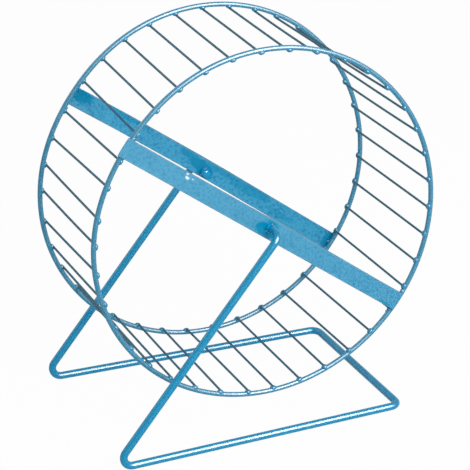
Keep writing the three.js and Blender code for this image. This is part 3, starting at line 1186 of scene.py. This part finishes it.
@dataclass
class Stand:
    """The stand, bent from one wire that ends in the wheel's stubs. Sizes in millimetres."""

    drum: Drum
    wire: float = 4.3
    leg_place: float = 59.15
    cross_place: float = 54.55
    leg_reach: float = 97.9
    cross_reach: float = 78.3
    hub_bend: float = 5.15
    foot_bend: float = 5.55
    cross_bend: float = 5.55
    stub_tip: float = 40.4
    press_length: float = 2.6
    press_half_width: float = 3.1
    press_half_thickness: float = 0.95
    presses: tuple[Press, ...] = (Press(42.4, 165.0), Press(48.6, 45.0))
    # How steeply a squeeze sets in, how full its wing is at the edges, and how near to a diamond.
    press_steepness: float = 1.6
    press_fullness: float = 1.6
    press_power: float = 1.7
    collar_place: float = 45.3
    collar_reach: float = 1.2
    collar_radius: float = 2.42
    tip_round: float = 0.5
    tip_share: float = 0.72
    level_slack: float = 0.01
    sides: int = 32
    bend_steps: int = 18
    # Rings stand close together on stretches shorter than short_stretch.
    short_stretch: float = 30.0
    close_spacing: float = 0.2
    wide_spacing: float = 3.0
    paint: BlueEnamel = field(
        default_factory=lambda: BlueEnamel(
            "blue_stoving_enamel_stand",
            "0a91bc",
            "008bba",
            roughness=0.29,
            specular=0.27,
            # Round both stubs and their pressed ears the blue is glossier and, as painted light that lifts the shade
            # there, a little brighter.
            pool_and_shading_colour="0096c8",
            pool_and_shading_roughness=0.16,
            pools_and_shading=(Patch((0, -47, 122.1), (8, 9, 8)), Patch((0, 42, 122.1), (8, 9, 8))),
        )
    )

    @property
    def radius(self) -> float:
        """Half the wire's thickness."""
        return self.wire / 2

    def corners(self) -> list[tuple[Vector, float]]:
        """Gives the wire's corners from the rear stub round to the front one, each with its bend."""
        height, low = self.drum.axle_height, self.radius
        half = [
            (Vector((0, self.stub_tip, height)), 0.0),
            (Vector((0, self.leg_place, height)), self.hub_bend),
            (Vector((-self.leg_reach, self.leg_place, low)), self.foot_bend),
            (Vector((self.cross_reach, self.cross_place, low)), self.cross_bend),
        ]
        mirrored = [(Vector((place.x, -place.y, place.z)), bend) for place, bend in reversed(half)]
        return half + mirrored

    def stations(self) -> list[Station]:
        """Walks along the wire.

        Returns:
            Place and direction of each ring: close together on bends and stubs, wider on straights.
        """
        corners = self.corners()
        found: list[Station] = []
        last = corners[0][0]
        for i in range(1, len(corners)):
            here, bend = corners[i]
            before, after = corners[i - 1][0], corners[i + 1][0] if i + 1 < len(corners) else None
            way_in = (here - before).normalized()
            if after is None:
                found += self.straight(last, here, way_in, True)
                continue
            way_out = (after - here).normalized()
            turn = way_in.angle(way_out)
            start = here - way_in * bend * math.tan(turn / 2)
            towards = (way_out - way_in * way_in.dot(way_out)).normalized()
            centre = start + towards * bend
            found += self.straight(last, start, way_in, False)
            for k in range(self.bend_steps):
                angle = turn * k / self.bend_steps
                place = centre - towards * bend * math.cos(angle) + way_in * bend * math.sin(angle)
                found.append((place, way_in * math.cos(angle) + towards * math.sin(angle)))
            last = centre - towards * bend * math.cos(turn) + way_in * bend * math.sin(turn)
        return found

    def straight(self, start: Vector, end: Vector, way: Vector, closed: bool) -> list[Station]:
        """Spaces rings along a straight stretch.

        Args:
            start: Where it starts.
            end: Where it ends.
            way: Its direction.
            closed: Whether the last ring is on the end itself.

        Returns:
            Place and direction of each ring.
        """
        length = (end - start).length
        spacing = self.close_spacing if length < self.short_stretch else self.wide_spacing
        count = max(2, round(length / spacing))
        return [(start + (end - start) * (k / count), way) for k in range(count + (1 if closed else 0))]

    def ring_radius(self, place: Vector, way: Vector, ray: Vector) -> float:
        """Gives the wire's radius in one direction, which changes where the stub was squeezed.

        Args:
            place: A point on the wire's centre line.
            way: The wire's direction there.
            ray: A direction across the wire.

        Returns:
            The radius in millimetres.
        """
        radius, out = self.radius, abs(place.y)
        if abs(way.y) < ALIKE or place.z < self.drum.axle_height - self.level_slack:
            return radius
        tip = (out - self.stub_tip) / self.tip_round
        if tip < 1:
            radius *= self.tip_share + (1 - self.tip_share) * math.sqrt(max(0.0, 1 - (1 - tip) ** 2))
        ring = abs(out - self.collar_place) / self.collar_reach
        if ring < 1:
            # Paint stands round the stub in the hub hole and all but closes the gap.
            radius += (self.collar_radius - radius) * math.sqrt(1 - ring * ring)
        for press in self.presses:
            off = abs(out - press.place) / (self.press_length / 2)
            if off >= 1:
                continue
            amount = min(1.0, self.press_steepness * (1 - off * off))
            amount = amount * amount * (3 - 2 * amount)
            turn = math.radians(press.turn_degrees)
            along = abs(ray.x * math.cos(turn) + ray.z * math.sin(turn)) / self.press_half_width
            over = abs(-ray.x * math.sin(turn) + ray.z * math.cos(turn)) / self.press_half_thickness
            power = self.press_power
            wing = (along**power + (over / self.press_fullness) ** power) ** (-1 / power)
            radius += (wing - radius) * amount
        return radius

    def build(self) -> None:
        """Bends the wire, squeezes its ends and paints it."""
        enamel = self.paint.make()
        stations = self.stations()
        vertices: list[Vector] = []
        faces: list[tuple[int, ...]] = []
        normal = Vector((1, 0, 0))
        for place, way in stations:
            normal = (normal - way * normal.dot(way)).normalized()
            side = way.cross(normal)
            for k in range(self.sides):
                angle = 2 * math.pi * k / self.sides
                ray = normal * math.cos(angle) + side * math.sin(angle)
                vertices.append((place + ray * self.ring_radius(place, way, ray)) * MM)
        for i in range(len(stations) - 1):
            for k in range(self.sides):
                a, b = i * self.sides + k, i * self.sides + (k + 1) % self.sides
                faces.append((a, b, b + self.sides, a + self.sides))
        for i in (0, len(stations) - 1):
            middle = len(vertices)
            vertices.append(stations[i][0] * MM)
            ring = [i * self.sides + k for k in range(self.sides)]
            faces += [(ring[k], ring[(k + 1) % self.sides], middle) for k in range(self.sides)]
        piece = mesh_object("stand_bent_wire", mesh_from(vertices, faces, enamel))
        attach(piece, "stand")
        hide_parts("stand_wire")
        LOG.info("%s: %d faces", piece.name, len(piece.data.polygons))


# ---- The studio ----


@dataclass(frozen=True)
class Lamp:
    """A soft lamp: its place, the width and height of its face, in metres, and its power in watts.

    With gloss_only it shows as a reflection only, like a pale reflector card.
    """

    name: str
    place: tuple[float, float, float]
    size: tuple[float, float]
    watts: float
    gloss_only: bool = False


@dataclass
class Studio:
    """A pale floor, soft lamps and the camera. The camera's sizes are in millimetres, the others in metres."""

    azimuth: float = -23.537
    elevation: float = 22.953
    roll: float = -0.172
    focal_pixels: float = 2052.6
    frame_pixels: float = 470.0
    distance: float = 1154.66
    target: tuple[float, float, float] = (0.09, 0.0, 99.66)
    centre_shift: float = 0.28
    floor_half: float = 6.0
    floor_glow: float = 0.965
    floor_colour: str = "f4f4f4"
    soft_light: float = 0.4
    lamps_face: tuple[float, float, float] = (0, 0, 0.1)
    lamps: tuple[Lamp, ...] = (
        Lamp("front_softbox", (0.16, -1.05, 0.84), (0.85, 1.25), 11.5),
        Lamp("front_card", (0.38, -0.98, 0.78), (0.9, 1.0), 165.0, gloss_only=True),
        Lamp("rear_card", (-0.52, 0.45, 0.62), (0.8, 0.8), 5.0, gloss_only=True),
    )

    def camera(self) -> None:
        """Sets the camera where the photograph was taken from."""
        azimuth, elevation, roll = (math.radians(a) for a in (self.azimuth, self.elevation, self.roll))
        back = Vector(
            (math.sin(azimuth) * math.cos(elevation), -math.cos(azimuth) * math.cos(elevation), math.sin(elevation))
        )
        right = (-back).cross(Vector((0, 0, 1))).normalized()
        up = right.cross(-back)
        right, up = right * math.cos(roll) + up * math.sin(roll), up * math.cos(roll) - right * math.sin(roll)
        place = Vector(self.target) + back * self.distance + (up - right) * self.centre_shift
        data = bpy.data.cameras.new("camera")
        data.sensor_width = 36.0
        data.sensor_fit = "HORIZONTAL"
        data.lens = data.sensor_width * self.focal_pixels / self.frame_pixels
        data.clip_end = 20.0
        camera = bpy.data.objects.new("camera", data)
        turn = Matrix((right, up, back)).transposed().to_4x4()
        camera.matrix_world = Matrix.Translation(place * MM) @ turn
        bpy.context.scene.collection.objects.link(camera)
        bpy.context.scene.camera = camera

    def seen(self, tree: NodeTree) -> NodeSocket:
        """Adds the test for rays that show the background: those of the camera, gloss and glass.

        Args:
            tree: The world's or the floor's nodes.

        Returns:
            A socket that is 1 for such a ray and 0 for light falling on the object.
        """
        path = add_node(tree, "ShaderNodeLightPath")
        both = add_node(
            tree,
            "ShaderNodeMath",
            {0: path.outputs["Is Camera Ray"], 1: path.outputs["Is Glossy Ray"]},
            operation="MAXIMUM",
        )
        return add_node(
            tree, "ShaderNodeMath", {0: both.outputs[0], 1: path.outputs["Is Transmission Ray"]}, operation="MAXIMUM"
        ).outputs[0]

    def world(self) -> None:
        """Sets a white background and an even, dimmer light from all round."""
        world = bpy.data.worlds.new("studio")
        world.use_nodes = True
        bpy.context.scene.world = world
        tree = world.node_tree
        tree.nodes.clear()
        white = add_node(tree, "ShaderNodeBackground", {"Color": (1, 1, 1, 1), "Strength": 1.0})
        soft = add_node(tree, "ShaderNodeBackground", {"Color": (1, 1, 1, 1), "Strength": self.soft_light})
        mixed = add_node(tree, "ShaderNodeMixShader", {0: self.seen(tree), 1: soft.outputs[0], 2: white.outputs[0]})
        add_node(tree, "ShaderNodeOutputWorld", {"Surface": mixed.outputs[0]})

    def floor(self) -> None:
        """Lays a wide pale floor that keeps the wheel's shadow."""
        half = self.floor_half
        mesh = bpy.data.meshes.new("floor")
        mesh.from_pydata([(-half, -half, 0), (half, -half, 0), (half, half, 0), (-half, half, 0)], [], [(0, 1, 2, 3)])
        material = bpy.data.materials.new("pale_studio_paper")
        material.use_nodes = True
        tree = material.node_tree
        tree.nodes.clear()
        paper = add_node(tree, "ShaderNodeBsdfDiffuse", {"Color": linear(self.floor_colour)})
        glow = add_node(tree, "ShaderNodeEmission", {"Color": (1, 1, 1, 1), "Strength": 1.0})
        share = add_node(tree, "ShaderNodeMath", {0: self.seen(tree), 1: self.floor_glow}, operation="MULTIPLY")
        lifted = add_node(tree, "ShaderNodeMixShader", {0: share.outputs[0], 1: paper.outputs[0], 2: glow.outputs[0]})
        add_node(tree, "ShaderNodeOutputMaterial", {"Surface": lifted.outputs[0]})
        mesh.materials.append(material)
        mesh_object("floor", mesh)

    def hang(self, lamp: Lamp) -> None:
        """Hangs one lamp that faces the wheel."""
        data = bpy.data.lights.new(lamp.name, "AREA")
        data.shape = "RECTANGLE"
        data.size, data.size_y = lamp.size
        data.energy = lamp.watts
        hung = bpy.data.objects.new(lamp.name, data)
        hung.visible_diffuse = not lamp.gloss_only
        hung.visible_camera = False
        hung.location = lamp.place
        hung.rotation_euler = (Vector(self.lamps_face) - Vector(lamp.place)).to_track_quat("-Z", "Y").to_euler()
        bpy.context.scene.collection.objects.link(hung)

    def build(self) -> None:
        """Sets up the view, the light and the floor."""
        bpy.context.scene.view_settings.view_transform = "Standard"
        self.camera()
        self.world()
        self.floor()
        for lamp in self.lamps:
            self.hang(lamp)


def main() -> None:
    """Builds the wheel, its welds, the stand and the studio."""
    logging.basicConfig(level=logging.INFO, format="%(name)s: %(message)s")
    studio = Studio()
    studio.build()
    drum = Drum()
    drum.build()
    Welds(drum).build()
    Stand(drum).build()


if __name__ == "__main__":
    main()
